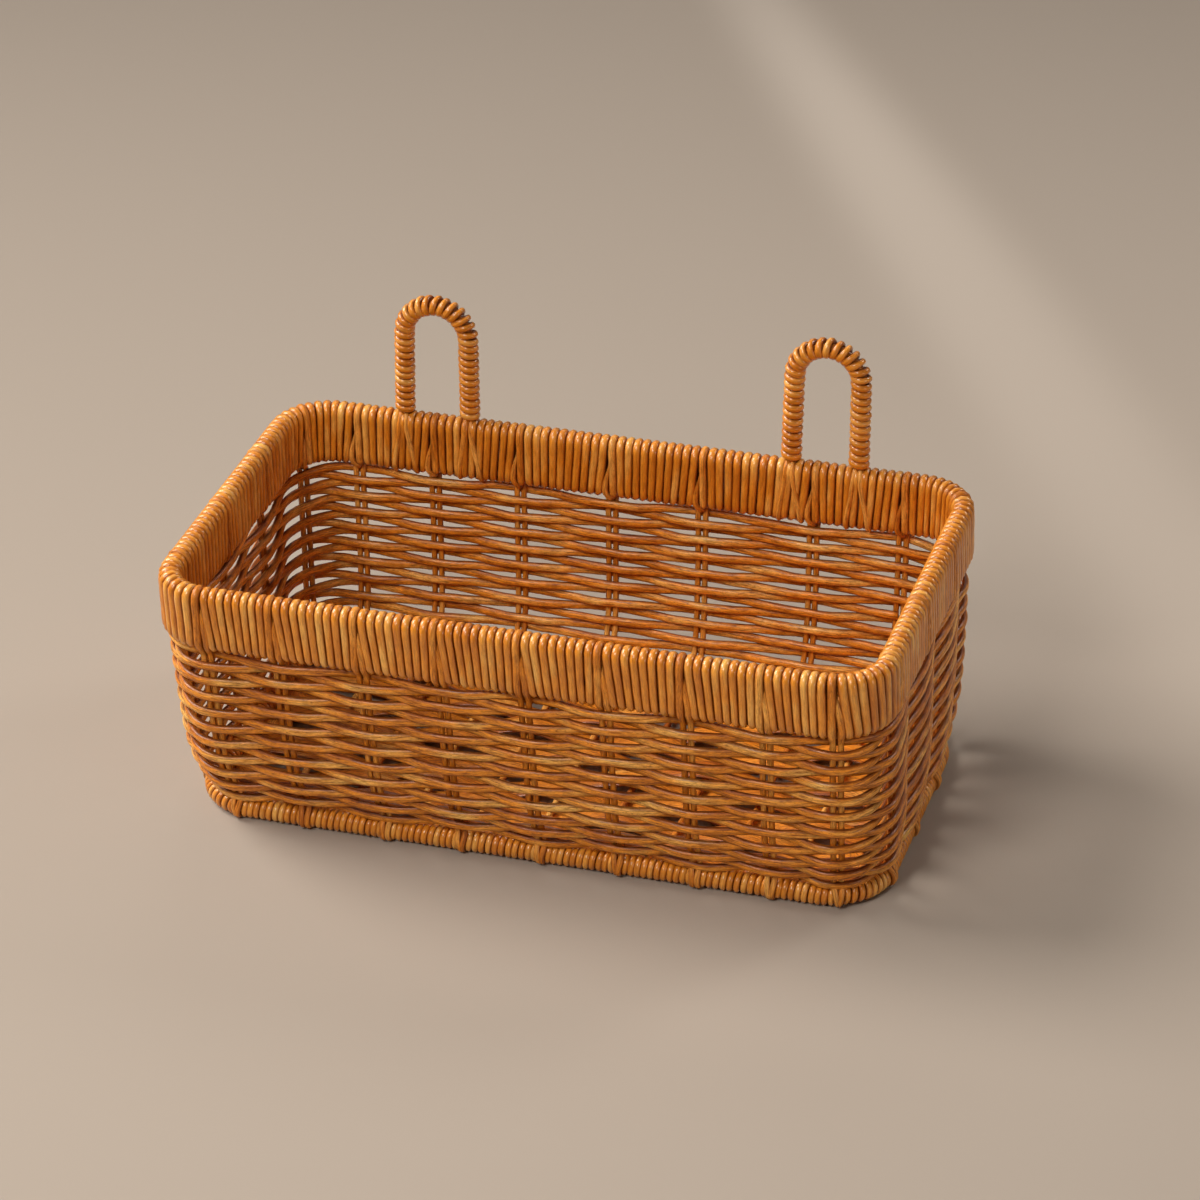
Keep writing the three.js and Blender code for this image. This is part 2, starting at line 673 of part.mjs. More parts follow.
/** Winding lengths along an arch: evenly up the legs and wider over the crown. */
function windingPoints(centreX) {
  const legLength = springHeight - RIM_HEIGHT;
  const crownLength = Math.PI * crownRadius;
  const legStart = CLEARANCE + HANGER_WRAP_WIDTH / 2 + HANGER_LEG_PITCH / wrapSteps;
  const legTurns = Math.round((legLength - legStart) / HANGER_LEG_PITCH);
  const crownTurns = Math.round(crownLength / HANGER_CROWN_PITCH);
  const turns = 2 * legTurns + crownTurns;
  const points = [];
  const alongs = [];
  for (let i = 0; i <= turns * wrapSteps; i += 1) {
    const turn = i / wrapSteps;
    let length;
    if (turn < legTurns) {
      length = legStart + (legLength - legStart) * (turn / legTurns);
    } else if (turn <= legTurns + crownTurns) {
      length = legLength + crownLength * ((turn - legTurns) / crownTurns);
    } else {
      const rest = (turn - legTurns - crownTurns) / legTurns;
      length = legLength + crownLength + (legLength - legStart) * rest;
    }
    const { point, along } = archAt(centreX, length);
    const across = new THREE.Vector3(0, 1, 0);
    const outward = new THREE.Vector3().crossVectors(across, along);
    const angle = 2 * Math.PI * turn;
    points.push(point
      .addScaledVector(across, wrapRadius * Math.cos(angle))
      .addScaledVector(outward, wrapRadius * Math.sin(angle)));
    alongs.push(along);
  }
  return { points, alongs };
}

/** The least distance between a winding's turns, measured on its points, less its width. */
function leastTurnGap(points) {
  let least = Infinity;
  for (let i = 0; i < points.length - wrapSteps; i += 1) {
    least = Math.min(least, points[i].distanceTo(points[i + wrapSteps]));
  }
  return least - HANGER_WRAP_WIDTH;
}

function hangerWrap(centreX, name) {
  const { points, alongs } = windingPoints(centreX);
  console.log(`${name}: least gap between turns ${leastTurnGap(points).toFixed(2)} mm`);
  const section = barSection(HANGER_WRAP_THICKNESS, HANGER_WRAP_WIDTH);
  return caneGeometry(points, section, (i) => alongs[i]);
}

for (const [side, name] of [[-1, 'hanger_left'], [1, 'hanger_right']]) {
  const centreX = (side * HANGER_SPACING) / 2;
  addPiece(`${name}_core`, hangerCore(centreX), CANE_COLOURS.core);
  addPiece(`${name}_wrap`, hangerWrap(centreX, name), CANE_COLOURS.wrap);
}

// Base mat: sticks from front to back, woven with one long splint that turns back at each end
const matInset = baseHoopInset + baseWrapSize / 2 + CLEARANCE;
const matHalfX = floorOutline.halfX - matInset;
const matHalfY = floorOutline.halfY - matInset;
const matRadius = floorOutline.radius - matInset;
const stickHeight = baseHoopHeight;
const splintOffset = (BASE_STICK_THICKNESS + BASE_SPLINT_THICKNESS) / 2 + 2 * CLEARANCE;
const level = new THREE.Vector3(0, 0, 1);

/** Half the mat's length at a distance from its middle, inside its round corners. */
function matReach(across, half, halfAcross) {
  const intoCorner = Math.max(0, Math.abs(across) - (halfAcross - matRadius));
  return half - matRadius + Math.sqrt(matRadius ** 2 - intoCorner ** 2);
}

const outerStickX = matHalfX - BASE_STICK_END_GAP;
const stickPlaces = Array.from({ length: BASE_STICK_COUNT }, (unused, i) => (
  THREE.MathUtils.mapLinear(i, 0, BASE_STICK_COUNT - 1, -outerStickX, outerStickX)
));
stickPlaces.forEach((x, i) => {
  const reach = matReach(Math.abs(x) + BASE_STICK_THICKNESS / 2, matHalfY, matHalfX);
  const points = [new THREE.Vector3(x, -reach, stickHeight), new THREE.Vector3(x, reach, stickHeight)];
  const section = barSection(BASE_STICK_THICKNESS, BASE_STICK_THICKNESS);
  addPiece(`base_stick_${i + 1}`, caneGeometry(points, section, () => level), CANE_COLOURS.stake);
});

function baseSplint() {
  const rowSpace = BASE_SPLINT_WIDTH + BASE_SPLINT_GAP;
  const rows = Math.floor((2 * matHalfY) / rowSpace);
  const points = [];
  for (let row = 0; row < rows; row += 1) {
    const y = (row - (rows - 1) / 2) * rowSpace;
    const turnBack = row % 2 === 0 ? 1 : -1;
    const nextY = row < rows - 1 ? y + rowSpace : y;
    const lastY = row > 0 ? y - rowSpace : y;
    const reachAt = (other) => (
      matReach(Math.max(Math.abs(y), Math.abs(other)) + BASE_SPLINT_WIDTH / 2, matHalfX, matHalfY)
      - BASE_SPLINT_WIDTH / 2
    );
    const places = turnBack > 0 ? stickPlaces : [...stickPlaces].reverse();
    points.push(new THREE.Vector3(-turnBack * reachAt(lastY), y, stickHeight));
    places.forEach((x, i) => {
      const over = (i + row) % 2 === 0 ? 1 : -1;
      points.push(new THREE.Vector3(x, y, stickHeight + over * splintOffset));
    });
    points.push(new THREE.Vector3(turnBack * reachAt(nextY), y, stickHeight));
  }
  const section = barSection(BASE_SPLINT_WIDTH, BASE_SPLINT_THICKNESS);
  return caneGeometry(points, section, () => level);
}

addPiece('base_splint', baseSplint(), CANE_COLOURS.weaver);

export default basket;
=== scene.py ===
"""A varnished cane wall basket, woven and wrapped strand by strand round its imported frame.

Lengths are in millimetres until a mesh is made, which is in metres. The front is at -Y, the wall
side at +Y, and a station is a length along the rim, counter-clockwise from the middle of the front.
An offset is a distance out from the wall's middle, and inwards where it is negative.
"""
import math
import random

import bpy
import numpy as np
from mathutils import Matrix, Vector

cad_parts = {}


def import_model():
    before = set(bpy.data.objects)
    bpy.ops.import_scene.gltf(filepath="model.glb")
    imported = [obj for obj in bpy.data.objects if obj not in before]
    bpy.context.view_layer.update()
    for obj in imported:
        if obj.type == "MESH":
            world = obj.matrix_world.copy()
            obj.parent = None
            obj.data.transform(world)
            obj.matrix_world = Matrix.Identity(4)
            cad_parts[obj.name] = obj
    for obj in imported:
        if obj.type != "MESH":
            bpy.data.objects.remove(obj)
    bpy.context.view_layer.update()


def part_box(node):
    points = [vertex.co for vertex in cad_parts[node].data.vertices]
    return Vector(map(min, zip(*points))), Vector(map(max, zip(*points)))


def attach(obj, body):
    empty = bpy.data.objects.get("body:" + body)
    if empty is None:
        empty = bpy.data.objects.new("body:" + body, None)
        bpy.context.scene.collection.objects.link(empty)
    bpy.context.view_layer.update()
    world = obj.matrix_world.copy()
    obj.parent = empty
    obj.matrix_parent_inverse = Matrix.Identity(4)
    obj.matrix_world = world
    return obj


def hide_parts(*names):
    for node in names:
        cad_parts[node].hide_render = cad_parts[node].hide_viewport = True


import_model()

MM = 0.001
UP = np.array([0.0, 0.0, 1.0])
BACK = np.array([0.0, 1.0, 0.0])
HALF_CORNER = math.pi / 4


def node_box(node):
    """A node's lowest and highest corners in millimetres."""
    low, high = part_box(node)
    return np.array(low) / MM, np.array(high) / MM


# Sizes of the frame
rim_low, rim_high = node_box("rim_wrap")
base_low, base_high = node_box("base_wrap")
RIM_TOP = rim_high[2]
BAND_BOTTOM = rim_low[2]
BASE_TOP = base_high[2]
BASE_HALF = BASE_TOP / 2
BAND_HALF = 5.5
RIM_CORNER_RADIUS = 29.0
BASE_CORNER_GROWTH = 6.0
WALL_LEAN_SHARE = 0.45
WALL_CURVE_POWER = 4
BASE_HOOP_INSET = 3.7

# The line round the middle of the band, and how far the base is drawn in from it
LINE_HALF_X = rim_high[0] - BAND_HALF
LINE_HALF_Y = rim_high[1] - BAND_HALF
LINE_RADIUS = RIM_CORNER_RADIUS - BAND_HALF
BASE_INSET_X = LINE_HALF_X - (base_high[0] - BASE_HALF + BASE_HOOP_INSET)
BASE_INSET_Y = LINE_HALF_Y - (base_high[1] - BASE_HALF + BASE_HOOP_INSET)
STRAIGHT_X = LINE_HALF_X - LINE_RADIUS
STRAIGHT_Y = LINE_HALF_Y - LINE_RADIUS
REACH_X = STRAIGHT_X + HALF_CORNER * LINE_RADIUS
REACH_Y = STRAIGHT_Y + HALF_CORNER * LINE_RADIUS
HALF_ROUND = 2 * (REACH_X + REACH_Y)
PERIMETER = 2 * HALF_ROUND
SIDE_STARTS = np.array([0, 2 * REACH_X, HALF_ROUND, HALF_ROUND + 2 * REACH_X])

# Places of the stake pairs, as shares of half the straight run of their side
FRONT_STAKE_SHARES = [-1, -0.76, -0.48, -0.22, 0.05, 0.31, 0.57, 0.82, 1.04]
BACK_STAKE_SHARES = [-1.15, -0.95, -0.68, -0.38, -0.06, 0.25, 0.63, 0.93, 1.15]
SIDE_STAKE_SHARES = [-0.93, -0.2, 0.53]

# Distance between the points of a stake, a strand or a tail
PATH_STEP = 1.8
# How many of its last points a cane thins out over, and the share of its size left at the end
THIN_POINTS = 7
THIN_SHARE = 0.3


# Geometry of the wall

def draw_in(z):
    """How far the wall has drawn in: 0 at the rim band, 1 at the base wrap."""
    rest = 1 - np.clip((z - BASE_TOP) / (BAND_BOTTOM - BASE_TOP), 0, 1)
    return WALL_LEAN_SHARE * rest + (1 - WALL_LEAN_SHARE) * rest ** WALL_CURVE_POWER


def outline(station, z, outward=0.0):
    """Points at stations, heights and offsets, on the level, and the directions along and out."""
    station, z, outward = np.broadcast_arrays(
        *(np.asarray(a, float) for a in (station, z, outward)))
    inward = draw_in(z)
    half_x = LINE_HALF_X - BASE_INSET_X * inward
    half_y = LINE_HALF_Y - BASE_INSET_Y * inward
    radius = LINE_RADIUS + BASE_CORNER_GROWTH * inward
    place = np.mod(station + REACH_X, PERIMETER)
    side = np.searchsorted(SIDE_STARTS, place, side="right") - 1
    long_side = side % 2 == 0
    share = (place - SIDE_STARTS[side]) / np.where(long_side, REACH_X, REACH_Y) - 1
    run = np.where(long_side, half_x, half_y) - radius
    distance = np.where(long_side, half_y, half_x)
    along = share * (run + HALF_CORNER * radius)
    turn = np.maximum(0, np.abs(along) - run) / radius
    sign = np.sign(along)
    x = sign * (np.minimum(np.abs(along), run) + (radius + outward) * np.sin(turn))
    y = distance - radius + (radius + outward) * np.cos(turn)
    facing = (side - 1) * math.pi / 2
    cos, sin = np.cos(facing), np.sin(facing)

    def turned(u, v, w):
        return np.stack([v * cos - u * sin, v * sin + u * cos, w], axis=-1)

    flat = np.zeros_like(z)
    ahead = turned(np.cos(turn), -sign * np.sin(turn), flat)
    out = turned(sign * np.sin(turn), np.cos(turn), flat)
    return turned(x, y, z), ahead, out


def wall(station, z, outward=0.0, sideways=0.0):
    """Points beside the sloping wall, square to it, and the direction out of it there."""
    station, z, outward, sideways = np.broadcast_arrays(
        *(np.asarray(a, float) for a in (station, z, outward, sideways)))
    point, ahead, _ = outline(station, z)
    step = 0.5
    up = outline(station, z + step)[0] - outline(station, z - step)[0]
    out = np.cross(ahead, up / np.linalg.norm(up, axis=-1, keepdims=True))
    out /= np.linalg.norm(out, axis=-1, keepdims=True)
    return point + out * outward[..., None] + ahead * sideways[..., None], out


def stake_stations():
    """Stations of all stake pairs with their node names, in order round the rim."""
    right, left = HALF_ROUND / 2, HALF_ROUND * 1.5
    places = [(share * STRAIGHT_X, f"stake_front_{i}")
              for i, share in enumerate(FRONT_STAKE_SHARES, 1)]
    places += [(HALF_ROUND - share * STRAIGHT_X, f"stake_back_{i}")
               for i, share in enumerate(BACK_STAKE_SHARES, 1)]
    for i, share in enumerate(SIDE_STAKE_SHARES, 1):
        places.append((right + share * STRAIGHT_Y, f"stake_right_{i}"))
        places.append((left - share * STRAIGHT_Y, f"stake_left_{i}"))
    return sorted((station % PERIMETER, name) for station, name in places)


STAKES = stake_stations()
STAKE_COUNT = len(STAKES)


def stake_at(count):
    """Station of a stake pair counted on round after round."""
    return STAKES[count % STAKE_COUNT][0] + count // STAKE_COUNT * PERIMETER


# Canes as meshes

class Canes:
    """Canes gathered into one mesh, with the place of each point in its own cane's grain."""

    # Size of the block of grain in which each cane takes a random place
    GRAIN_SPREAD = 400

    def __init__(self, name, seed):
        self.name = name
        self.rng = random.Random(seed)
        self.points, self.faces, self.grain, self.tone, self.crest = [], [], [], [], []
        self.count = 0

    def add(self, path, width, depth, facing, sides=10, closed=False, tone=None):
        """One cane along a path: depth is its size along facing, width its size across that."""
        path = np.asarray(path, float)
        size = len(path)
        if closed:
            tangent = np.roll(path, -1, axis=0) - np.roll(path, 1, axis=0)
        else:
            tangent = np.gradient(path, axis=0)
        tangent /= np.linalg.norm(tangent, axis=1, keepdims=True)
        across = np.cross(tangent, np.broadcast_to(facing, path.shape))
        across /= np.linalg.norm(across, axis=1, keepdims=True)
        outward = np.cross(across, tangent)
        angle = np.arange(sides) * 2 * math.pi / sides
        half_width = np.broadcast_to(np.asarray(width, float) / 2, size)[:, None]
        half_depth = np.broadcast_to(np.asarray(depth, float) / 2, size)[:, None]
        u = half_width * np.cos(angle)
        v = half_depth * np.sin(angle)
        ring = path[:, None] + u[..., None] * across[:, None] + v[..., None] * outward[:, None]
        steps = np.linalg.norm(np.diff(path, axis=0), axis=1)
        length = np.concatenate([[0], np.cumsum(steps)])
        shift = [self.rng.uniform(0, self.GRAIN_SPREAD) for _ in range(3)]
        grain = np.stack([u + shift[0], v + shift[1],
                          np.broadcast_to(length[:, None] + shift[2], u.shape)], axis=-1)
        first = self.count
        row = first + np.arange(size)[:, None] * sides
        a = row + np.arange(sides)
        b = row + (np.arange(sides) + 1) % sides
        quads = np.stack([a, b, np.roll(b, -1, axis=0), np.roll(a, -1, axis=0)], axis=-1)
        if not closed:
            quads = quads[:-1]
            last = first + (size - 1) * sides
            self.faces.append(tuple(range(first + sides - 1, first - 1, -1)))
            self.faces.append(tuple(range(last, last + sides)))
        self.faces.extend(map(tuple, quads.reshape(-1, 4).tolist()))
        self.points.append(ring.reshape(-1, 3))
        self.grain.append(grain.reshape(-1, 3))
        tone = self.rng.random() if tone is None else tone
        self.tone.append(np.full(size * sides, tone))
        self.crest.append(np.tile(np.abs(np.sin(angle)), size))
        self.count += size * sides

    def finish(self, material, slot, *nodes):
        """Makes the object, which rides on the basket and stands for the given nodes."""
        mesh = bpy.data.meshes.new(self.name)
        mesh.from_pydata((np.concatenate(self.points) * MM).tolist(), [], self.faces)
        mesh.attributes.new("grain", "FLOAT_VECTOR", "POINT").data.foreach_set(
            "vector", np.concatenate(self.grain).astype(np.float32).ravel())
        for name, values in (("tone", self.tone), ("crest", self.crest)):
            mesh.attributes.new(name, "FLOAT", "POINT").data.foreach_set(
                "value", np.concatenate(values).astype(np.float32))
        mesh.shade_smooth()
        mesh.update()
        piece = bpy.data.objects.new(self.name, mesh)
        bpy.context.scene.collection.objects.link(piece)
        mesh.materials.append(material)
        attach(piece, "root")
        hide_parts(*nodes)


def wave(rng, size, longest):
    """A smooth random function of a length or a count, with about the given size."""
    parts = [(rng.uniform(0.5, 1), rng.uniform(0, 2 * math.pi), longest * share)
             for share in (1, 0.61, 0.37)]
    total = sum(weight for weight, _, _ in parts)

    def value(length):
        return size * sum(weight * np.sin(2 * math.pi * np.asarray(length) / period + phase)
                          for weight, phase, period in parts) / total

    return value


def smooth_path(points, spacing):
    """Even points on a smooth curve through the given ones."""
    points = np.asarray(points, float)
    steps = np.linalg.norm(np.diff(points, axis=0), axis=1)
    length = np.concatenate([[0], np.cumsum(steps)])
    slope = np.gradient(points, length, axis=0)
    count = max(2, round(length[-1] / spacing))
    at = np.linspace(0, length[-1], count + 1)
    i = np.clip(np.searchsorted(length, at, side="right") - 1, 0, len(points) - 2)
    span = length[i + 1] - length[i]
    t = ((at - length[i]) / span)[:, None]
    span = span[:, None]
    start = (2 * t ** 3 - 3 * t ** 2 + 1) * points[i] + (t ** 3 - 2 * t ** 2 + t) * span * slope[i]
    end = (3 * t ** 2 - 2 * t ** 3) * points[i + 1] + (t ** 3 - t ** 2) * span * slope[i + 1]
    return start + end


def thinned(count):
    """Shares of the full size at the points of a cane that thins out to its end."""
    return np.clip((count - 1 - np.arange(count)) / THIN_POINTS, THIN_SHARE, 1)


# Materials

def rgb(red, green, blue):
    """A display colour, 0 to 255, as a linear one."""
    def linear(value):
        value /= 255
        return value / 12.92 if value <= 0.04045 else ((value + 0.055) / 1.055) ** 2.4
    return (linear(red), linear(green), linear(blue), 1.0)


def cane_material(name, colours, roughness, coat, fibre, painted_groove_shade, specks):
    """Varnished cane: slow patches, long fibres, dark flecks, painted shade in the grooves and a
    satin coat.

    fibre, the painted groove shade and specks, 0 to 1, are the strength of the fibres, of the
    painted shade that darkens each cane towards its sides, away from its crest, and of the flecks.
    """
    material = bpy.data.materials.new(name)
    material.use_nodes = True
    tree = material.node_tree
    link = tree.links.new
    shader = tree.nodes["Principled BSDF"]

    def node(kind, **properties):
        made = tree.nodes.new(kind)
        for key, value in properties.items():
            setattr(made, key, value)
        return made

    def feed(socket, value):
        """Links an output to a socket, or sets a plain number or colour there."""
        if isinstance(value, (int, float, tuple)):
            socket.default_value = value
        else:
            link(value, socket)

    def attribute(attribute_name):
        return node("ShaderNodeAttribute", attribute_name=attribute_name).outputs

    def noise(scale, detail, rough=0.5):
        """Noise on the grain, stretched along the cane by the scale's third number."""
        stretch = node("ShaderNodeMapping", vector_type="POINT")
        stretch.inputs["Scale"].default_value = scale
        link(grain, stretch.inputs["Vector"])
        made = node("ShaderNodeTexNoise", noise_dimensions="3D")
        made.inputs["Scale"].default_value = 1
        made.inputs["Detail"].default_value = detail
        made.inputs["Roughness"].default_value = rough
        link(stretch.outputs["Vector"], made.inputs["Vector"])
        return made.outputs["Fac"]

    def maths(operation, a, b):
        made = node("ShaderNodeMath", operation=operation)
        feed(made.inputs[0], a)
        feed(made.inputs[1], b)
        return made.outputs["Value"]

    def multiply(factor, a, b):
        """Colour a times colour b, as far as factor says."""
        made = node("ShaderNodeMix", data_type="RGBA", blend_type="MULTIPLY")
        feed(made.inputs["Factor"], factor)
        feed(made.inputs["A"], a)
        feed(made.inputs["B"], b)
        return made.outputs["Result"]

    def ramp(factor, *stops):
        made = node("ShaderNodeValToRGB")
        elements = made.color_ramp.elements
        while len(elements) < len(stops):
            elements.new(0.5)
        for element, (position, colour) in zip(elements, stops):
            element.position = position
            element.color = colour
        link(factor, made.inputs["Fac"])
        return made.outputs["Color"]

    grain = attribute("grain")["Vector"]
    white = (1.0, 1.0, 1.0, 1.0)
    patches = noise((0.1, 0.1, 0.035), 2)
    fibres = noise((1.5, 1.5, 0.16), 3, 0.65)
    hairs = noise((3.6, 3.6, 0.5), 3, 0.65)
    flecks = noise((1.5, 1.5, 0.6), 2, 0.6)
    level = maths("ADD", maths("MULTIPLY", attribute("tone")["Fac"], 0.42),
                  maths("MULTIPLY", patches, 0.62))
    dark, middle, light = colours
    body = ramp(level, (0.3, dark), (0.52, middle), (0.72, light))
    body = multiply(fibre, body, ramp(
        fibres, (0.34, (0.46, 0.32, 0.2, 1)), (0.5, white), (0.66, (1.45, 1.45, 1.45, 1))))
    body = multiply(fibre, body, ramp(hairs, (0.36, (0.7, 0.6, 0.5, 1)), (0.6, white)))
    body = multiply(specks, body, ramp(flecks, (0.3, (0.4, 0.28, 0.2, 1)), (0.4, white)))
    # Painted shade: each cane's colour darkens towards its sides, away from its crest, as if its
    # neighbours shaded it.
    body = multiply(painted_groove_shade, body, ramp(
        attribute("crest")["Fac"], (0.0, (0.12, 0.05, 0.015, 1)), (0.45, (0.5, 0.35, 0.23, 1)),
        (0.85, white)))
    link(body, shader.inputs["Base Color"])
    link(maths("ADD", maths("MULTIPLY", fibres, 0.3), roughness), shader.inputs["Roughness"])
    shader.inputs["Specular IOR Level"].default_value = 0.38
    shader.inputs["Coat Weight"].default_value = coat
    shader.inputs["Coat Roughness"].default_value = 0.17
    bump = node("ShaderNodeBump")
    bump.inputs["Strength"].default_value = 0.7
    bump.inputs["Distance"].default_value = 0.2 * MM
    link(maths("ADD", fibres, maths("MULTIPLY", hairs, 0.4)), bump.inputs["Height"])
    link(bump.outputs["Normal"], shader.inputs["Normal"])
    return material


WRAP_CANE = cane_material(
    "wrap_cane", (rgb(190, 102, 12), rgb(232, 146, 38), rgb(254, 200, 106)),
    roughness=0.25, coat=0.7, fibre=0.4, painted_groove_shade=0.9, specks=0.15)
WEAVER_CANE = cane_material(
    "weaver_cane", (rgb(176, 92, 10), rgb(232, 147, 40), rgb(255, 210, 118)),
    roughness=0.3, coat=0.2, fibre=0.95, painted_groove_shade=0.9, specks=0.7)
STAKE_CANE = cane_material(
    "stake_cane", (rgb(172, 90, 12), rgb(222, 136, 36), rgb(250, 190, 96)),
    roughness=0.32, coat=0.2, fibre=0.7, painted_groove_shade=0.6, specks=0.5)


# Rim band

RIM_CANE = 3.9
RIM_CANE_WIDEST = 4.7
RIM_PITCH = 4.12
# Width of a turn as a share of its pitch
RIM_OVERLAP = 1.03
# Offset and heights of a turn's middle line where it bends round the hoops
WRAP_IN = BAND_HALF - RIM_CANE / 2
LOW_TURN = BAND_BOTTOM + BAND_HALF
HIGH_TURN = RIM_TOP - BAND_HALF
# Distance between a turn's points, and the share of the way round after which the next one starts
BAND_STEP = 2.4
BAND_TURN_SHARE = 0.995
# How far before its stake pair a run of turns starts
STRAND_LEAD = 1.9
# How far a turn may stray at the top, at its foot outside, and from there at its foot inside
STRAY_HIGH, STRAY_LOW, STRAY_INNER = 0.16, 0.18, 0.12
# Unevenness of a turn outwards and along the band, and of the cane's width: size, longest wave
BAND_BULGE = (0.14, 40)
BAND_SWAY = (0.18, 34)
BAND_SWELL = (0.1, 90)


def band_turn(low_out, low_in, high, rng):
    """Stations, heights and offsets of a turn that goes up outside the band and down inside it.

    low_out and low_in are its stations at the band's foot, outside and inside, and high the one
    at the top.
    """
    straight = HIGH_TURN - LOW_TURN
    bend = math.pi * WRAP_IN
    total = 2 * (straight + bend)
    bulge = wave(rng, *BAND_BULGE)
    sway = wave(rng, *BAND_SWAY)
    stations, heights, offsets = [], [], []
    for s in np.arange(0, BAND_TURN_SHARE * total, BAND_STEP):
        if s < bend / 2:
            angle = s / WRAP_IN
            z, o = LOW_TURN - WRAP_IN * math.cos(angle), WRAP_IN * math.sin(angle)
        elif s < bend / 2 + straight:
            z, o = LOW_TURN + s - bend / 2, WRAP_IN
        elif s < 1.5 * bend + straight:
            angle = (s - bend / 2 - straight) / WRAP_IN
            z, o = HIGH_TURN + WRAP_IN * math.sin(angle), WRAP_IN * math.cos(angle)
        elif s < 1.5 * bend + 2 * straight:
            z, o = HIGH_TURN - (s - 1.5 * bend - straight), -WRAP_IN
        else:
            angle = (s - 1.5 * bend - 2 * straight) / WRAP_IN
            z, o = LOW_TURN - WRAP_IN * math.sin(angle), -WRAP_IN * math.cos(angle)
        share = min(1, max(0, (z - BAND_BOTTOM) / (HIGH_TURN - BAND_BOTTOM)))
        foot = low_out if o > 0 else low_in
        stations.append(foot + (high - foot) * share + sway(s) * (1 - abs(2 * share - 1)))
        heights.append(z)
        offsets.append(o + math.copysign(bulge(s), o))
    return np.array(stations), np.array(heights), np.array(offsets)


def squeeze(station, offset, pitch, cane):
    """Width of a cane that fills its pitch, which in a corner grows outwards and shrinks inwards."""
    place = np.mod(station + REACH_X, HALF_ROUND)
    away = np.minimum(np.abs(place - 2 * REACH_X), np.minimum(place, HALF_ROUND - place))
    in_corner = away < HALF_CORNER * LINE_RADIUS
    scale = np.where(in_corner, (LINE_RADIUS + offset) / LINE_RADIUS, 1)
    return np.minimum(cane, pitch * scale)


def rim_wrapping():
    """The cane wound round the band, in a run from each stake pair to the next."""
    canes = Canes("rim_wrapping", 11)
    rng = canes.rng
    middle = (LOW_TURN + HIGH_TURN) / 2
    for i in range(STAKE_COUNT):
        start, end = stake_at(i) - STRAND_LEAD, stake_at(i + 1) - STRAND_LEAD
        turns = round((end - start) / RIM_PITCH)
        top_pitch = (end - start) / turns
        foot_pitch = (end - start) / (turns + 1)
        parts = []
        for turn in range(1, turns):
            high = start + turn * top_pitch + rng.uniform(-STRAY_HIGH, STRAY_HIGH)
            low = start + (turn + 1) * foot_pitch + rng.uniform(-STRAY_LOW, STRAY_LOW)
            inner = low + rng.uniform(-STRAY_INNER, STRAY_INNER)
            parts.append(band_turn(low, inner, high, rng))
        stations, heights, offsets = (np.concatenate(part) for part in zip(*parts))
        stations[1:-1] = np.convolve(stations, [0.25, 0.5, 0.25], "valid")
        point, _, out = outline(stations, heights, offsets)
        past = np.abs(heights - middle) - (HIGH_TURN - LOW_TURN) / 2
        over = np.clip(past / WRAP_IN, 0, 1)[:, None]
        facing = (np.sign(offsets)[:, None] * out * (1 - over)
                  + np.sign(heights - middle)[:, None] * over * UP)
        swell = wave(rng, *BAND_SWELL)(np.arange(len(point)) * BAND_STEP)
        rise = np.clip((heights - BAND_BOTTOM) / (HIGH_TURN - BAND_BOTTOM), 0, 1)
        pitch = foot_pitch + (top_pitch - foot_pitch) * rise
        width = squeeze(stations, offsets, pitch * RIM_OVERLAP, RIM_CANE_WIDEST) + swell
        canes.add(point, width, RIM_CANE, facing, sides=9, tone=0.5)
    canes.finish(WRAP_CANE, "cane_wrap", "rim_wrap")


# Base hoop

BASE_CANE = 3.4
BASE_PITCH = 3.45
BASE_TURN_POINTS = 16
RING_HALF = 5.3
# Free length at each end of a run of turns, and how far its end turns lean away from a stake
FOOT_GAP = 1.3
FOOT_PARTING = 1.0
# Unevenness along the hoop, and as shares of the cane's depth and width: size, longest in turns
BASE_SWAY = (0.2, 2.7)
BASE_DEPTH_SWELL = (0.06, 3.1)
BASE_WIDTH_SWELL = (0.07, 2.3)


def base_wrapping():
    """The cane wound round the base hoop, in a run between each two stake pairs."""
    canes = Canes("base_wrapping", 23)
    rng = canes.rng
    radius = RING_HALF - BASE_CANE / 2
    for i in range(STAKE_COUNT):
        here, there = stake_at(i), stake_at(i + 1)
        ends = outline(np.array([here, (here + there) / 2, there]), 0.0, -BASE_HOOP_INSET)[0]
        length = np.linalg.norm(np.diff(ends, axis=0), axis=1).sum()
        scale = (there - here) / length
        turns = max(2, round(length / BASE_PITCH))
        turn = np.arange(turns * BASE_TURN_POINTS + 1) / BASE_TURN_POINTS
        angle = 2 * math.pi * turn - math.pi
        offset = radius * np.cos(angle) - BASE_HOOP_INSET
        parting = FOOT_PARTING * scale * (0.6 + 0.4 * np.sin(angle)) * np.maximum(0, np.cos(angle))
        share = turn / turns
        station = here + FOOT_GAP * scale + (there - here - 2 * FOOT_GAP * scale) * share
        station += parting * (1 - 2 * share) ** 3
        sway = wave(rng, *BASE_SWAY)(turn)
        point, _, out = outline(station + sway, 0.0, offset)
        point[:, 2] = RING_HALF + radius * np.sin(angle)
        facing = out * np.cos(angle)[:, None] + UP * np.sin(angle)[:, None]
        depth = BASE_CANE * (1 + wave(rng, *BASE_DEPTH_SWELL)(turn))
        width = squeeze(station, offset, (there - here) / scale / turns, BASE_CANE)
        width = width * (1 + wave(rng, *BASE_WIDTH_SWELL)(turn))
        canes.add(point, width, depth, facing, tone=0.5)
    canes.finish(WRAP_CANE, "cane_wrap", "base_wrap")


# Stakes

STAKE_DIAMETER = 3.0
STAKE_DEPTH = 2.4
STAKE_SPREAD = 3.6
# Room that a pair takes among the turns of the band
STAKE_SLOT = 3.9
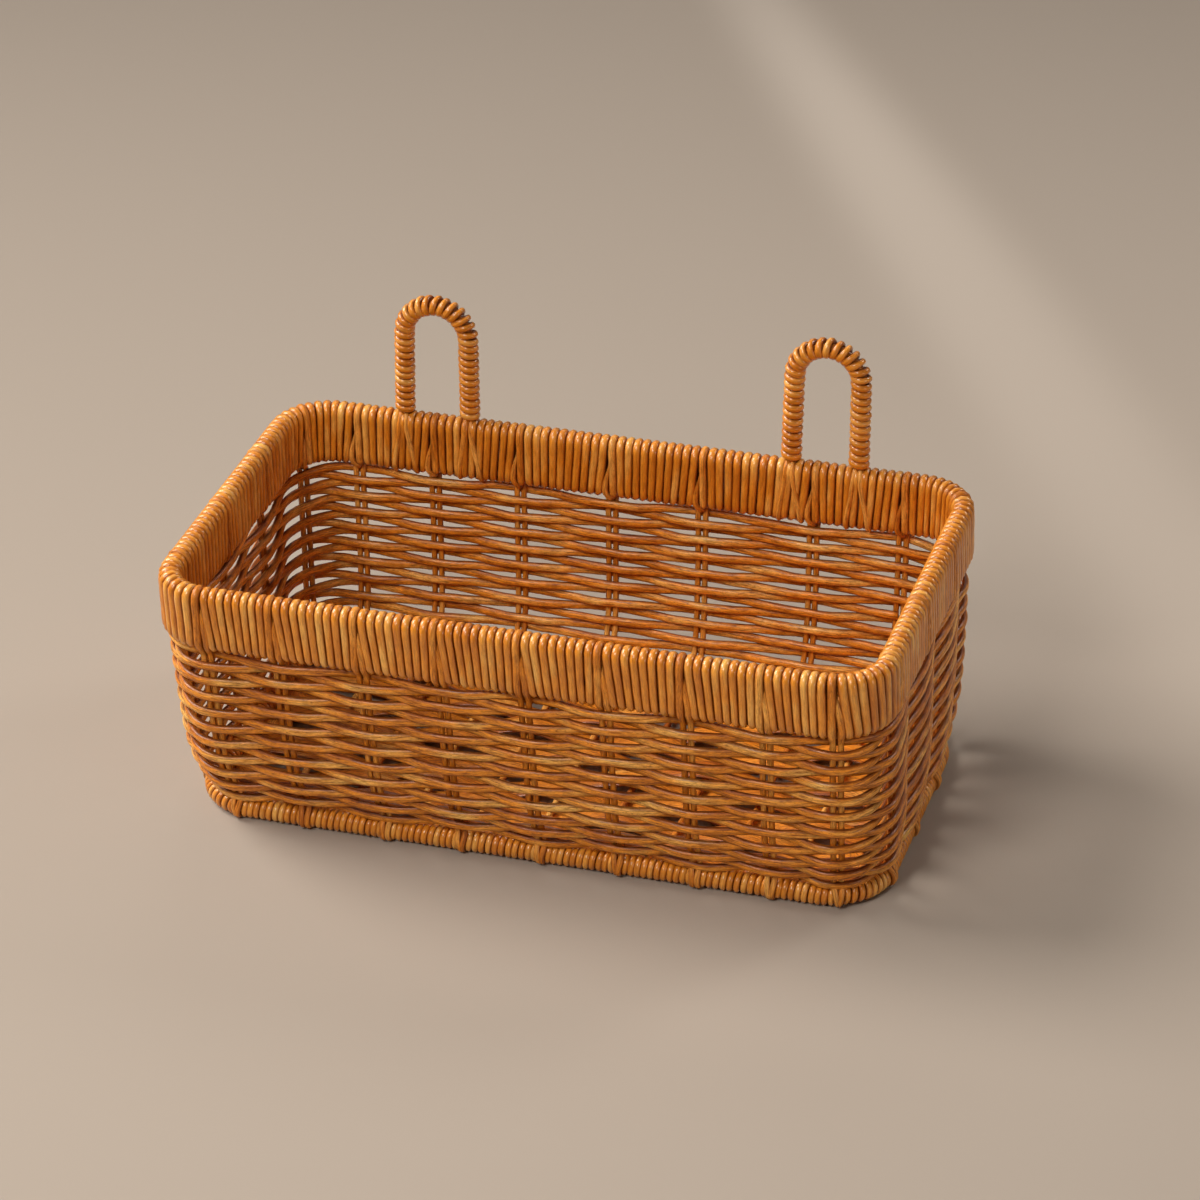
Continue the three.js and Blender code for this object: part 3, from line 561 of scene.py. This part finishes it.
# How far the weave is drawn in behind the wall's line at the base, and up to what height over it
FOOT_PULL = 5.2
FOOT_PULL_HEIGHT = 26.0
FOOT_PULL_POWER = 1.3
# Share of the pull that is left at the ends of the basket
FOOT_PULL_ENDS = 0.45
# Round the base hoop: height, offset from its face, distance aside, and more in a pair set apart
STAKE_FOOT = [
    (1.7, -3.4, 0.0, 1.2),
    (2.0, -1.2, 0.0, 1.3),
    (4.8, 0.3, 0.5, 0.7),
    (8.2, -0.4, 1.4, 0.0),
    (10.6, -2.0, 1.7, 0.0),
]
# Up the wall: the first height, how far below the band it ends, and the step
STAKE_WALL = (15, 5, 8)
# Into the band: height and offset
STAKE_RISE = [
    (BAND_BOTTOM + 0.6, 1.9),
    (BAND_BOTTOM + 3.2, WRAP_IN - 0.1),
    (BAND_BOTTOM + 6.5, WRAP_IN + 0.2),
]
# The left cane goes over the band: heights outside, angles over the top, heights inside
OVER_HEIGHTS_OUT = [LOW_TURN + 8, LOW_TURN + 15, HIGH_TURN]
OVER_ANGLES = [40, 90, 140]
OVER_HEIGHTS_IN = [HIGH_TURN, HIGH_TURN - 8, LOW_TURN + 8, LOW_TURN, BAND_BOTTOM + 2.2]
OVER_OFFSET = WRAP_IN + 0.1
# The right cane is tucked in: height, offset, lean as a share of the slot
BAND_HEIGHT = RIM_TOP - BAND_BOTTOM
STAKE_TUCK = [
    (BAND_BOTTOM + BAND_HEIGHT * 0.45, WRAP_IN + 0.15, 0.25),
    (BAND_BOTTOM + BAND_HEIGHT * 0.65, WRAP_IN - 0.7, 0.5),
    (BAND_BOTTOM + BAND_HEIGHT * 0.8, WRAP_IN - 2.4, 0.62),
]
# The tail inside the band: height, offset, lean as a share of the slot
STAKE_TAIL = [
    (BAND_BOTTOM - 0.6, -1.0, 0.35),
    (BAND_BOTTOM + 3, -WRAP_IN, 0.95),
    (LOW_TURN + 5, -WRAP_IN - 0.2, 0.9),
    (LOW_TURN + 10, -WRAP_IN + 0.1, 0.62),
    (LOW_TURN + 16, -WRAP_IN + 1.3, 0.4),
]
STAKE_TAIL_CANE = RIM_CANE * 0.85
STAKE_SEED = 100
STAKE_TONES = (0.42, 0.62)
# How far the two canes of a pair may be set apart at the foot, as shares
STAKE_APART = (0.2, 0.5, 1.0)
# Each cane's side, and how much of the way to the rim's cane it grows in the band
STAKE_GROWTH = ((-1, 1.2), (1, 0.8))
# How far below the band the growth starts, and the length that it takes
GROWTH_LEAD, GROWTH_LENGTH = 1, 6
# Share of its size that a cane has at its first point, and what each further point adds
STAKE_START, STAKE_GAIN = 0.85, 1 / 8
# A stake's points whose offset is less than this are inside the band
INSIDE_OFFSET = -0.5
# Unevenness sideways up the wall: size, longest wave
STAKE_SWAY = (0.16, 60)
# Unevenness of a stake's size: share, longest wave in points
STAKE_SWELL = (0.03, 25)


def foot_pull(station, z):
    """How far the weave is drawn in behind the wall's line, less at the ends of the basket."""
    share = np.clip((FOOT_PULL_HEIGHT + BASE_TOP - np.asarray(z, float)) / FOOT_PULL_HEIGHT, 0, 1)
    _, _, out = outline(station, z)
    side_share = FOOT_PULL_ENDS + (1 - FOOT_PULL_ENDS) * out[..., 1] ** 2
    return FOOT_PULL * share ** FOOT_PULL_POWER * side_share


def ring_point(station, z, outward, sideways):
    """A point beside the base ring's outline, on the level."""
    point, ahead, _ = outline(station, 0.0, outward)
    return point + ahead * sideways + UP * z


def stake_line(station, start, side, apart, sway):
    """Points of one cane of a pair: the left one, side -1, goes over the band, the right one in."""
    face = RING_HALF - BASE_HOOP_INSET
    aside = side * STAKE_SPREAD / 2
    points = [ring_point(station, z, face + o, side * (beside + apart * more))
              for z, o, beside, more in STAKE_FOOT]
    first, below, step = STAKE_WALL
    for z in np.arange(first, BAND_BOTTOM - below, step):
        points.append(wall(station, z, -foot_pull(station, z), aside + sway(z))[0])
    points.append(wall(station, BAND_BOTTOM - 2.2, 0.3, aside)[0])
    at = start if side < 0 else start + STAKE_SLOT
    for k, (z, o) in enumerate(STAKE_RISE):
        points.append(outline((station + aside) * (2 - k) / 3 + at * (k + 1) / 3, z, o)[0])
    if side < 0:
        points += [outline(at, z, OVER_OFFSET)[0] for z in OVER_HEIGHTS_OUT]
        for angle in map(math.radians, OVER_ANGLES):
            points.append(outline(at, HIGH_TURN + OVER_OFFSET * math.sin(angle),
                                  OVER_OFFSET * math.cos(angle))[0])
        points += [outline(at, z, -WRAP_IN)[0] for z in OVER_HEIGHTS_IN]
    else:
        points += [outline(at - STAKE_SLOT * lean, z, o)[0] for z, o, lean in STAKE_TUCK]
    return smooth_path(points, PATH_STEP)


def stake_pair(index):
    """Two canes side by side from the base hoop into the rim band, and a tucked tail inside it."""
    station, name = STAKES[index]
    canes = Canes(name.replace("stake", "stake_pair"), STAKE_SEED + index)
    rng = canes.rng
    start = station - STRAND_LEAD
    tone = rng.uniform(*STAKE_TONES)
    apart = rng.choice(STAKE_APART)
    flat = STAKE_DEPTH / STAKE_DIAMETER
    for side, growth in STAKE_GROWTH:
        path = stake_line(station, start, side, apart, wave(rng, *STAKE_SWAY))
        height = path[:, 2]
        middle, _, out = outline(station, height)
        in_band = np.clip((height - BAND_BOTTOM + GROWTH_LEAD) / GROWTH_LENGTH, 0, 1)
        inside = np.einsum("ij,ij->i", path - middle, out) < INSIDE_OFFSET
        facing = np.where((inside & (in_band > 0))[:, None], -out, out)
        top = np.clip((height - HIGH_TURN) / WRAP_IN, 0, 1)[:, None]
        facing = facing * (1 - top) + UP * top
        order = np.arange(len(path))
        size = STAKE_DIAMETER + (RIM_CANE - STAKE_DIAMETER) * in_band * growth
        size = size * np.clip(STAKE_START + order * STAKE_GAIN, 0, 1)
        size = size * (1 + wave(rng, *STAKE_SWELL)(order))
        if side > 0:
            size = size * thinned(len(path))
        canes.add(path, size, size * (flat + (1 - flat) * in_band), facing, sides=9, tone=tone)
    path = smooth_path([outline(start + STAKE_SLOT * lean, z, o)[0] for z, o, lean in STAKE_TAIL],
                       PATH_STEP)
    _, _, out = outline(station, path[:, 2])
    size = STAKE_TAIL_CANE * thinned(len(path))
    canes.add(path, size, size, -out, sides=9, tone=tone)
    canes.finish(STAKE_CANE, "cane_stake", name)


# Wall weaving

WEAVER_HEIGHT = 4.5
WEAVER_DEPTH = 3.4
WEAVE_OFFSET = 2.6
WEAVER_STEP = 2.6
ROWS = 20
ROUNDS = ROWS // 2
LOWER_ROUNDS = ROWS // 4
ROOM_BELOW = 0.4
ROOM_ABOVE = 1.2
FIRST_ROW = BASE_TOP + WEAVER_HEIGHT / 2 + ROOM_BELOW
LAST_ROW = BAND_BOTTOM - ROOM_ABOVE - WEAVER_HEIGHT / 2
# How much wider than even the lowest rows are spaced, and how much closer the highest
ROW_EASE = 0.07
# How much less or more a weaver may stand out between two stake pairs, as shares
WEAVER_LIFT = (-0.08, 0.1)
# Seed and unevenness of the rows that all weavers share: size, longest wave
WEAVE_SEED = 5
WEAVE_ROLL = (0.5, 210)
# A weaver's own unevenness in height, in offset and as a share of its size: size, longest wave
WEAVER_ROLL = (0.3, 47)
WEAVER_SWAY = (0.2, 71)
WEAVER_SWELL = (0.05, 160)
# The step up from round to round: its first stake pair and how many stakes it takes
STEP_FIRST = next(i for i, stake in enumerate(STAKES) if stake[1] == "stake_right_3")
STEP_STAKES = 2


def rounds_climbed(place):
    """How many rounds a weaver has climbed at a place counted in stakes."""
    past = (place - STEP_FIRST) / STAKE_COUNT
    whole = math.floor(past)
    return whole + min(1, (past - whole) * STAKE_COUNT / STEP_STAKES) - 1


def weaver(name, seed, parity, first_round, rounds, node_name, early=0, late=0):
    """One long weaver that passes outside every second stake pair and inside the others.

    It runs from the end of one step up to the start of another, and early and late are how many
    stakes it reaches into these steps.
    """
    canes = Canes(name, seed)
    rng = canes.rng
    start = STEP_FIRST + STEP_STAKES + first_round * STAKE_COUNT - early
    steps = rounds * STAKE_COUNT - STEP_STAKES + early + late
    hold = STAKE_SPREAD / 2
    common = wave(random.Random(WEAVE_SEED), *WEAVE_ROLL)
    station, place, offset = [], [], []
    for count in range(start, start + steps):
        here, there = stake_at(count), stake_at(count + 1)
        side = 1 if (count + parity) % 2 == 0 else -1
        lift = 1 + rng.uniform(*WEAVER_LIFT)
        for s in np.arange(0, there - here, WEAVER_STEP):
            flat = min(1, max(0, (s - hold) / (there - here - 2 * hold)))
            station.append(here + s)
            place.append(count + s / (there - here))
            offset.append(side * math.cos(math.pi * flat) * WEAVE_OFFSET * lift)
    station, offset = np.array(station), np.array(offset)
    row = np.clip([parity + 2 * rounds_climbed(p) for p in place], 0, ROWS - 1)
    share = row / (ROWS - 1)
    own = wave(rng, *WEAVER_ROLL)
    height = FIRST_ROW + (LAST_ROW - FIRST_ROW) * share * (1 + ROW_EASE * (1 - share))
    height = height + own(station) + common(station) * np.sin(math.pi * share)
    offset = offset + wave(rng, *WEAVER_SWAY)(station) - foot_pull(station, height)
    offset[2:-2] = np.convolve(offset, np.array([1, 2, 3, 2, 1]) / 9, "valid")
    path, out = wall(station, height, offset)
    thick = 1 + wave(rng, *WEAVER_SWELL)(station)
    canes.add(path, WEAVER_HEIGHT * thick, WEAVER_DEPTH * thick, out, tone=0.5)
    canes.finish(WEAVER_CANE, "cane_weaver", node_name)


# Hanging loops

HANGER_CANE = 3.5
HANGER_TURNS = 37
HANGER_TURN_POINTS = 14
HANGER_CORE_RADIUS = 1.5
# The widest that a turn gets as a share of its cane, and its width as a share of its pitch
HANGER_WIDEN = 1.35
HANGER_OVERLAP = 1.04
# How much thinner the core is than the winding's middle line, as a share of the winding's cane
HANGER_CORE_CUT = 0.4
HANGER_CORE_POINTS = 90
# How far the winding stands out past the solid's, how deep its feet start in the band, and how
# much deeper the core's ends do
HANGER_SWELL = 0.3
HANGER_SINK = 0.9
HANGER_CORE_END = 2
# Shift of a loop to the right, and how far its legs splay at their feet
HANGER_SHIFT = 0.5
HANGER_SPLAY = 0.5
# Height of a loop above the solid's, and its lean to the right at the crown
HANGER_RISE = {"left": 1.3, "right": 3.5}
HANGER_LEAN = {"left": 1.4, "right": 1.6}
# Unevenness of the winding along the loop, outwards and as a share of the cane's size: size,
# longest wave in turns
WINDING_SWAY = (0.22, 37 / 7)
WINDING_BULGE = (0.14, 53 / 9)
WINDING_SWELL = (0.07, 2.6)
# The strands that splay down inside the band: distance aside, distance back, height
STRAND_CANE = 2.9
STRAND_LINE = [
    (1.1, 2.6, RIM_TOP - 0.4),
    (1.5, 0.6, RIM_TOP - 2.6),
    (1.8, -0.9, HIGH_TURN - 1),
    (2.9, -1.0, HIGH_TURN - 9),
    (4.6, -0.9, LOW_TURN + 4),
    (5.4, -0.3, LOW_TURN - 2.5),
    (5.5, 1.4, BAND_BOTTOM + 1),
]


def hanger(side_name, seed):
    """A wrapped loop: its core, the winding round it and the splayed ends inside the band."""
    low, high = node_box(f"hanger_{side_name}_wrap")
    core_low, core_high = node_box(f"hanger_{side_name}_core")
    centre_x = (low[0] + high[0]) / 2 + HANGER_SHIFT
    centre_y = (low[1] + high[1]) / 2
    radius_out = (high[1] - low[1]) / 2
    span = (core_high[0] - core_low[0]) / 2 - HANGER_CORE_RADIUS
    wind = radius_out - HANGER_CANE / 2 + HANGER_SWELL
    foot = RIM_TOP - HANGER_SINK
    leg = high[2] + HANGER_RISE[side_name] - radius_out - span - foot
    crown = math.pi * span
    total = 2 * leg + crown

    def arch(length):
        """Points at lengths along the loop from its left foot, and the direction there."""
        angle = np.clip((length - leg) / span, 0, math.pi)
        down = np.maximum(0, length - leg - crown)
        z = foot + np.minimum(length, leg) + span * np.sin(angle) - down
        share = np.clip((z - foot) / leg, 0, 1)
        half_width = span + HANGER_SPLAY * (1 - share)
        x = centre_x + HANGER_LEAN[side_name] * share - half_width * np.cos(angle)
        along = np.stack([np.sin(angle), np.zeros_like(x), np.cos(angle)], axis=-1)
        return np.stack([x, np.full_like(x, centre_y), z], axis=-1), along

    canes = Canes(f"hanger_{side_name}_winding", seed)
    rng = canes.rng
    turn = np.arange(HANGER_TURNS * HANGER_TURN_POINTS + 1) / HANGER_TURN_POINTS
    length = HANGER_CANE / 2 + (total - HANGER_CANE) * turn / HANGER_TURNS
    length = length + wave(rng, *WINDING_SWAY)(turn)
    point, along = arch(length)
    outward = np.cross(BACK, along)
    angle = 2 * math.pi * turn[:, None]
    radial = BACK * np.cos(angle) + outward * np.sin(angle)
    reach = wind + wave(rng, *WINDING_BULGE)(turn)[:, None]
    in_crown = (length > leg) & (length < leg + crown)
    tight = np.where(in_crown, 1 + np.einsum("ij,ij->i", radial, outward) * wind / span, 1)
    width = np.minimum(HANGER_CANE * HANGER_WIDEN, total / HANGER_TURNS * tight * HANGER_OVERLAP)
    size = 1 + wave(rng, *WINDING_SWELL)(turn)
    canes.add(point + radial * reach, width * size, HANGER_CANE * size, radial, tone=0.5)
    canes.finish(WRAP_CANE, "cane_wrap", f"hanger_{side_name}_wrap")

    canes = Canes(f"hanger_{side_name}_bent_core", seed + 1)
    path, _ = arch(np.linspace(-HANGER_CORE_END, total + HANGER_CORE_END, HANGER_CORE_POINTS))
    diameter = 2 * wind - HANGER_CANE * HANGER_CORE_CUT
    canes.add(path, diameter, diameter, BACK)
    for leg_side in (-1, 1):
        x = centre_x + leg_side * (span + HANGER_SPLAY)
        for splay in (-1, 1):
            points = [(x + splay * aside, LINE_HALF_Y - WRAP_IN + back, z)
                      for aside, back, z in STRAND_LINE]
            canes.add(smooth_path(points, PATH_STEP), STRAND_CANE, STRAND_CANE, -BACK, sides=9,
                      tone=0.6)
    canes.finish(STAKE_CANE, "cane_core", f"hanger_{side_name}_core")


# Hoops inside the wraps

RIM_HOOP = 3.0
BASE_HOOP = 4.6
HOOP_POINTS = 320


def hoop(name, seed, node_name, line_height, offset, diameter):
    """A closed ring at its node's height, offset from the outline of the wall at line_height."""
    low, high = node_box(node_name)
    canes = Canes(name, seed)
    station = np.linspace(0, PERIMETER, HOOP_POINTS, endpoint=False)
    path, _, _ = outline(station, line_height, offset)
    path[:, 2] = (low[2] + high[2]) / 2
    canes.add(path, diameter, diameter, UP, closed=True)
    canes.finish(STAKE_CANE, "cane_core", node_name)


# Base mat

MAT_HALF_X = 159.0
MAT_HALF_Y = 70.0
MAT_RADIUS = 21.0
MAT_ROWS = 8
MAT_ROW_SPACE = 16.3
MAT_RIBS = 9
MAT_RIB_SPACE = 31.0
MAT_RIB_CANE = 3.2
MAT_HEIGHT = 4.5
MAT_LIFT = 3.2
MAT_WIDTH = 15.0
MAT_SPLINT = 1.9
# Unevenness of a rib along the basket: size, longest wave
MAT_RIB_SWAY = (0.3, 80)
MAT_RIB_POINTS = 40
MAT_SPLINT_STEP = 3.0
MAT_RIB_SEED = 300
MAT_SPLINT_SEED = 320


def mat_end(y):
    """How far along the mat its row may run at a distance from the middle."""
    past = max(0, y + MAT_WIDTH / 2 - (MAT_HALF_Y - MAT_RADIUS))
    return MAT_HALF_X - MAT_RADIUS + math.sqrt(MAT_RADIUS ** 2 - past ** 2) - MAT_WIDTH / 2


def base_mat():
    """Ribs from front to back, and one flat splint woven through them row by row."""
    for number in range(1, MAT_RIBS + 1):
        node_name = f"base_stick_{number}"
        low, high = node_box(node_name)
        canes = Canes(f"base_rib_{number}", MAT_RIB_SEED + number)
        y = np.linspace(low[1], high[1], MAT_RIB_POINTS)
        x = (low[0] + high[0]) / 2 + wave(canes.rng, *MAT_RIB_SWAY)(y)
        path = np.stack([x, y, np.full_like(y, (low[2] + high[2]) / 2)], axis=-1)
        canes.add(path, MAT_RIB_CANE, MAT_RIB_CANE, UP)
        canes.finish(STAKE_CANE, "cane_stake", node_name)

    canes = Canes("base_splint_weave", MAT_SPLINT_SEED)
    points = []
    for row in range(MAT_ROWS):
        y = (row - (MAT_ROWS - 1) / 2) * MAT_ROW_SPACE
        ahead = 1 if row % 2 == 0 else -1
        last_y = abs(y - MAT_ROW_SPACE) if row else 0
        next_y = abs(y + MAT_ROW_SPACE) if row + 1 < MAT_ROWS else 0
        places = [(-ahead * mat_end(max(abs(y), last_y)), 0.0)]
        places += [(ahead * (k - (MAT_RIBS - 1) / 2) * MAT_RIB_SPACE, MAT_LIFT * (-1) ** (k + row))
                   for k in range(MAT_RIBS)]
        places.append((ahead * mat_end(max(abs(y), next_y)), 0.0))
        points += [(x, y, MAT_HEIGHT + lift) for x, lift in places]
    canes.add(smooth_path(points, MAT_SPLINT_STEP), MAT_WIDTH, MAT_SPLINT, UP, sides=12, tone=0.4)
    canes.finish(WEAVER_CANE, "cane_weaver", "base_splint")


# Camera, floor and light

CAMERA_PLACE = (0.58029, -1.71064, 1.16425)
CAMERA_YAW, CAMERA_PITCH, CAMERA_ROLL = -18.32, -30.6, -1.8
CAMERA_LENS = 135
FLOOR_COLOUR = rgb(166, 155, 145)
FLOOR_HALF = 12
KEY_COLOUR = (1, 0.94, 0.86)
EDGE_COLOUR = (1, 0.92, 0.82)
BACK_COLOUR = (1, 0.95, 0.88)
WORLD_COLOUR = (1, 0.93, 0.83, 1)


def add_object(name, data):
    made = bpy.data.objects.new(name, data)
    bpy.context.scene.collection.objects.link(made)
    return made


def camera():
    """The photograph's view: a long lens above the front, turned a little to the left."""
    data = bpy.data.cameras.new("camera")
    data.lens = CAMERA_LENS
    data.sensor_width = 36
    data.clip_end = 50
    yaw, pitch, roll = map(math.radians, (CAMERA_YAW, CAMERA_PITCH, CAMERA_ROLL))
    ahead = Vector((math.sin(yaw) * math.cos(pitch), math.cos(yaw) * math.cos(pitch),
                    math.sin(pitch)))
    right = ahead.cross(Vector((0, 0, 1))).normalized()
    up = right.cross(ahead)
    level = right * math.cos(roll) + up * math.sin(roll)
    rise = up * math.cos(roll) - right * math.sin(roll)
    turn = Matrix((level, rise, -ahead)).transposed().to_4x4()
    made = add_object("camera", data)
    made.matrix_world = Matrix.Translation(Vector(CAMERA_PLACE)) @ turn
    bpy.context.scene.camera = made


def floor():
    """A seamless warm grey floor."""
    mesh = bpy.data.meshes.new("floor")
    corners = [(x * FLOOR_HALF, y * FLOOR_HALF, 0) for x, y in ((-1, -1), (1, -1), (1, 1), (-1, 1))]
    mesh.from_pydata(corners, [], [(0, 1, 2, 3)])
    material = bpy.data.materials.new("floor_paper")
    material.use_nodes = True
    shader = material.node_tree.nodes["Principled BSDF"]
    shader.inputs["Base Color"].default_value = FLOOR_COLOUR
    shader.inputs["Roughness"].default_value = 0.9
    shader.inputs["Specular IOR Level"].default_value = 0.1
    mesh.materials.append(material)
    made = add_object("floor", mesh)


def aim(made, place, target):
    """Puts a lamp at a place and turns it to a target."""
    made.location = place
    made.rotation_euler = (Vector(target) - Vector(place)).to_track_quat("-Z", "Y").to_euler()


def lamp(name, place, target, size, power, colour, spread=100):
    """A round softbox that shines at a target, its beam as wide as spread in degrees."""
    data = bpy.data.lights.new(name, "AREA")
    data.shape = "DISK"
    data.size = size
    data.spread = math.radians(spread)
    data.energy = power
    data.color = colour
    aim(add_object(name, data), place, target)


def streak_lamp():
    """A narrow grazing beam that draws a soft diagonal streak on the floor behind the basket."""
    data = bpy.data.lights.new("streak", "SPOT")
    data.spot_size = 0.055
    data.spot_blend = 1.0
    data.shadow_soft_size = 0.02
    data.energy = 420
    data.color = BACK_COLOUR
    aim(add_object("streak", data), (-1.01, 2.28, 0.15), (0.06, 0.55, 0.0))


def world():
    """A faint warm light from all round."""
    made = bpy.data.worlds.new("studio")
    made.use_nodes = True
    background = made.node_tree.nodes["Background"]
    background.inputs["Color"].default_value = WORLD_COLOUR
    background.inputs["Strength"].default_value = 0.07
    bpy.context.scene.world = made


rim_wrapping()
base_wrapping()
for number in range(STAKE_COUNT):
    stake_pair(number)
for parity, letter in ((0, "a"), (1, "b")):
    weaver(f"weaving_cane_low_{letter}", 41 + parity, parity, 0, LOWER_ROUNDS,
           f"weaver_lower_{letter}", early=1 - parity, late=STEP_STAKES)
    weaver(f"weaving_cane_high_{letter}", 51 + parity, parity, LOWER_ROUNDS,
           ROUNDS - LOWER_ROUNDS, f"weaver_upper_{letter}", late=parity)
hanger("left", 61)
hanger("right", 71)
hoop("upper_rim_hoop", 81, "rim_hoop_upper", RIM_TOP, 0.0, RIM_HOOP)
hoop("lower_rim_hoop", 82, "rim_hoop_lower", RIM_TOP, 0.0, RIM_HOOP)
hoop("foot_hoop", 83, "base_hoop", 0.0, -BASE_HOOP_INSET, BASE_HOOP)
base_mat()

camera()
floor()
lamp("key", (-1.9, 0.05, 1.9), (-0.1, -0.3, 0), size=1.7, power=28.5, colour=KEY_COLOUR)
lamp("top_front", (-0.5, -1.6, 1.75), (0.05, -0.15, 0), size=0.9, power=8.2, colour=KEY_COLOUR)
lamp("right_edge", (1.5, -0.7, 0.35), (0.1, 0, 0.07), size=0.5, power=0.8, colour=EDGE_COLOUR)
lamp("back_right", (1.35, 1.3, 1.3), (0.5, 0.3, 0), size=0.7, power=1.9, colour=BACK_COLOUR,
     spread=70)
lamp("back_left", (-0.45, 1.9, 1.6), (0.3, 0.1, 0), size=1.2, power=1.8, colour=BACK_COLOUR)
streak_lamp()
world()
bpy.context.scene.view_settings.view_transform = "Standard"
